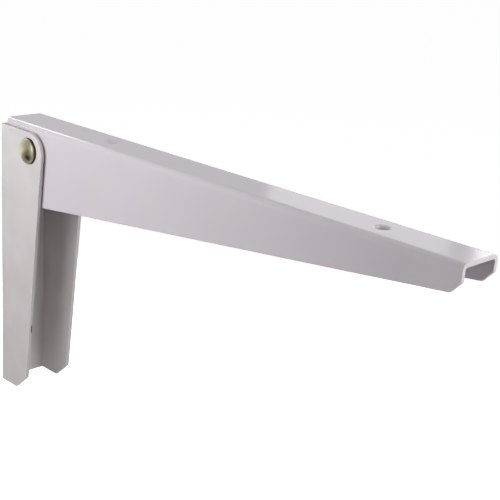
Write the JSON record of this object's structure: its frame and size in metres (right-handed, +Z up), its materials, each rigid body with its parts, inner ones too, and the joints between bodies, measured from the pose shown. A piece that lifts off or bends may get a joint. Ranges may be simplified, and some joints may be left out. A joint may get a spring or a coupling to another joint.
{
  "type": "folding shelf bracket",
  "caption": "Folding shelf bracket of two nested sheet-steel channels on one rivet: a tapered wall leg and a tapered arm that lifts and folds down flat against the wall.",
  "frame": {"origin": "on the wall plane, midway between the two wall screw holes, on the bracket's middle plane", "axes": "+X out from the wall along the arm, +Y across the bracket, +Z up"},
  "size_m": [0.3, 0.0361, 0.156],
  "materials": {
    "coated_steel": "glossy off-white powder coat",
    "yellow_zinc": "yellow passivated zinc plate, satin",
    "plain_steel": "plain zinc plate",
    "nylon": "natural white, matt"
  },
  "bodies": {
    "leg": {"wall_leg": "coated_steel", "pivot_rivet": "yellow_zinc"},
    "pivot": {"pivot_sleeve": "plain_steel", "near_washer": "nylon", "far_washer": "nylon"},
    "arm": {"shelf_arm": "coated_steel"}
  },
  "joints": [
    {"name": "arm_fold", "type": "hinge", "parent": "leg", "child": "pivot", "pos_m": [0.0277, 0, 0.0853], "axis": [0, 1, 0], "range_deg": [0, 90]},
    {"name": "arm_lift", "type": "slide", "parent": "pivot", "child": "arm", "axis": [0, 0, 1], "range_m": [0, 0.01]}
  ],
  "couplings": [
    {"joint": "arm_lift", "follows": "arm_fold", "m_per_rad": 0.006366}
  ]
}
